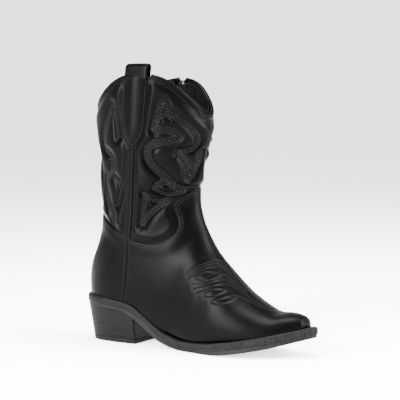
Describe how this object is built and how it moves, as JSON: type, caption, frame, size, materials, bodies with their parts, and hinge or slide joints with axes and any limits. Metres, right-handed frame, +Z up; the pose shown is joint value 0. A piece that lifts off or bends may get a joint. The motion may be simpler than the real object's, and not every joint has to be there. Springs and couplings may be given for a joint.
{
  "type": "cowboy boot",
  "caption": "Mid-calf western boot with a padded stitched shaft, dipped collar, side pull strap, inner side zip, low stacked heel and grey-edged sole.",
  "frame": {"origin": "centre of the footprint on the ground", "axes": "+X towards the toe, +Y towards the inner side with the zip, +Z up the shaft"},
  "size_m": [0.2748, 0.1037, 0.3],
  "materials": {
    "upper_leather": "smooth semi-gloss black",
    "strap_leather": "smooth semi-gloss black",
    "lining_fabric": "matt knitted lining, black",
    "foam": "open-cell foam backed with gauze",
    "backing_fabric": "woven backing",
    "stiffener": "pressed thermoplastic sheet",
    "insole_board": "pressed fibre board",
    "sock_leather": "matt black sock lining",
    "shank_steel": "plain spring steel",
    "welt_synthetic": "grey ribbed edge",
    "tread_rubber": "matt black moulded rubber",
    "heel_stack": "black, fine stacked lines",
    "top_lift_rubber": "matt black",
    "nail_steel": "plain",
    "zip_tape": "woven black tape",
    "zip_coil": "black nylon coil",
    "zip_metal": "black lacquer"
  },
  "bodies": {
    "boot": {"shaft_front_panel": "upper_leather", "shaft_back_panel": "upper_leather", "vamp": "upper_leather", "heel_foxing": "upper_leather", "shaft_foam_front": "foam", "shaft_foam_rear": "foam", "shaft_lining": "lining_fabric", "zip_guard": "lining_fabric", "toe_puff": "stiffener", "heel_counter": "stiffener", "foot_interlining": "backing_fabric", "foot_lining": "lining_fabric", "side_seam_strip": "strap_leather", "collar_piping_front": "strap_leather", "collar_piping_rear": "strap_leather", "pull_strap": "strap_leather", "shank": "shank_steel", "midsole_welt": "welt_synthetic", "outsole": "tread_rubber", "insole_board": "insole_board", "sock_liner": "sock_leather", "heel_block": "heel_stack", "top_lift": "top_lift_rubber", "heel_nails": "nail_steel", "zip_tape_front": "zip_tape", "zip_tape_rear": "zip_tape", "zip_teeth_front": "zip_coil", "zip_teeth_rear": "zip_coil", "zip_top_stops": "zip_metal", "zip_bottom_stop": "zip_metal"},
    "slider": {"zip_slider": "zip_metal"},
    "puller": {"zip_puller": "zip_metal"}
  },
  "joints": [
    {"name": "zip_slide", "type": "slide", "parent": "boot", "child": "slider", "axis": [0.0996, 0.0891, 0.991], "range_m": [-0.158, 0]},
    {"name": "puller_swing", "type": "hinge", "parent": "slider", "child": "puller", "pos_m": [-0.05103, 0.04969, 0.2658], "axis": [0.995, 0, -0.1], "range_deg": [0, 165]}
  ]
}
